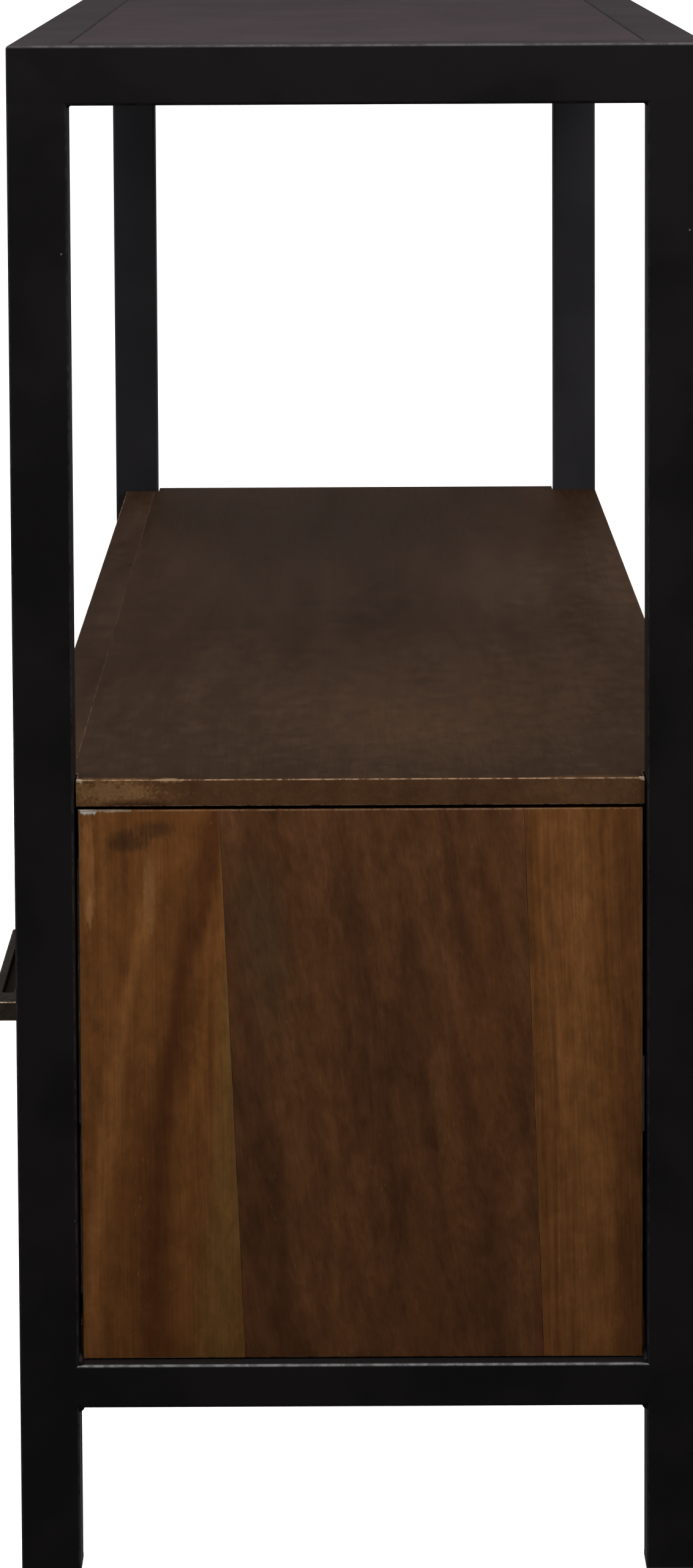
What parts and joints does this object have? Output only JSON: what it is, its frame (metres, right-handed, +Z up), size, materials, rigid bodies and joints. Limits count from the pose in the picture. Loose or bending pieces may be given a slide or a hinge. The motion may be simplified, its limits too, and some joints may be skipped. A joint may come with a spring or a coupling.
{
  "type": "sideboard buffet",
  "caption": "Industrial sideboard with a black square-tube steel frame, flush steel top, open bay and a low wooden cabinet of deep drawers with flat horizontal pulls.",
  "frame": {"origin": "on the floor, at the middle of the outline in plan, pulls included", "axes": "+X along the length to the right-hand end as seen from the front, -Y out of the front, +Z up"},
  "size_m": [1.5, 0.431, 0.914],
  "materials": {
    "frame_paint": "satin black powder coat",
    "top_paint": "fine-textured black powder coat",
    "cabinet_wood": "walnut-brown stain, satin lacquer",
    "drawer_wood": "clear lacquer",
    "pull_bronze": "dark bronze, rubbed edges",
    "slide_steel": "zinc plated",
    "screw_steel": "black oxide",
    "foot_plastic": "matt black"
  },
  "bodies": {
    "carcass": {"cabinet_back": "cabinet_wood", "cabinet_bottom": "cabinet_wood", "cabinet_screws": "screw_steel", "cabinet_top": "cabinet_wood", "cabinet_top_lipping": "cabinet_wood", "centre_slides_fixed": "slide_steel", "divider_left": "cabinet_wood", "divider_right": "cabinet_wood", "end_panel_left": "cabinet_wood", "end_panel_right": "cabinet_wood", "foot_plugs": "foot_plastic", "front_left_post": "frame_paint", "front_right_post": "frame_paint", "left_slides_fixed": "slide_steel", "levelling_glides": "foot_plastic", "low_rail_front": "frame_paint", "low_rail_left": "frame_paint", "low_rail_rear": "frame_paint", "low_rail_right": "frame_paint", "rear_left_post": "frame_paint", "rear_right_post": "frame_paint", "right_slides_fixed": "slide_steel", "top_bearer_centre": "frame_paint", "top_bearer_left": "frame_paint", "top_bearer_right": "frame_paint", "top_panel": "top_paint", "top_rail_front": "frame_paint", "top_rail_left": "frame_paint", "top_rail_rear": "frame_paint", "top_rail_right": "frame_paint"},
    "left_drawer": {"left_drawer_back": "drawer_wood", "left_drawer_bottom": "drawer_wood", "left_drawer_front": "cabinet_wood", "left_drawer_left_side": "drawer_wood", "left_drawer_right_side": "drawer_wood", "left_pull": "pull_bronze", "left_pull_screws": "screw_steel", "left_slides_inner": "slide_steel"},
    "left_slide_middles": {"left_slides_middle": "slide_steel"},
    "centre_drawer": {"centre_drawer_back": "drawer_wood", "centre_drawer_bottom": "drawer_wood", "centre_drawer_front": "cabinet_wood", "centre_drawer_left_side": "drawer_wood", "centre_drawer_right_side": "drawer_wood", "centre_pull": "pull_bronze", "centre_pull_screws": "screw_steel", "centre_slides_inner": "slide_steel"},
    "centre_slide_middles": {"centre_slides_middle": "slide_steel"},
    "right_drawer": {"right_drawer_back": "drawer_wood", "right_drawer_bottom": "drawer_wood", "right_drawer_front": "cabinet_wood", "right_drawer_left_side": "drawer_wood", "right_drawer_right_side": "drawer_wood", "right_pull": "pull_bronze", "right_pull_screws": "screw_steel", "right_slides_inner": "slide_steel"},
    "right_slide_middles": {"right_slides_middle": "slide_steel"}
  },
  "joints": [
    {"name": "left_drawer_slide", "type": "slide", "parent": "carcass", "child": "left_drawer", "axis": [0, -1, 0], "range_m": [0, 0.32]},
    {"name": "left_slide_middles_slide", "type": "slide", "parent": "carcass", "child": "left_slide_middles", "axis": [0, -1, 0], "range_m": [0, 0.16]},
    {"name": "centre_drawer_slide", "type": "slide", "parent": "carcass", "child": "centre_drawer", "axis": [0, -1, 0], "range_m": [0, 0.32]},
    {"name": "centre_slide_middles_slide", "type": "slide", "parent": "carcass", "child": "centre_slide_middles", "axis": [0, -1, 0], "range_m": [0, 0.16]},
    {"name": "right_drawer_slide", "type": "slide", "parent": "carcass", "child": "right_drawer", "axis": [0, -1, 0], "range_m": [0, 0.32]},
    {"name": "right_slide_middles_slide", "type": "slide", "parent": "carcass", "child": "right_slide_middles", "axis": [0, -1, 0], "range_m": [0, 0.16]}
  ],
  "couplings": [
    {"joint": "left_slide_middles_slide", "follows": "left_drawer_slide", "ratio": 0.5},
    {"joint": "centre_slide_middles_slide", "follows": "centre_drawer_slide", "ratio": 0.5},
    {"joint": "right_slide_middles_slide", "follows": "right_drawer_slide", "ratio": 0.5}
  ]
}
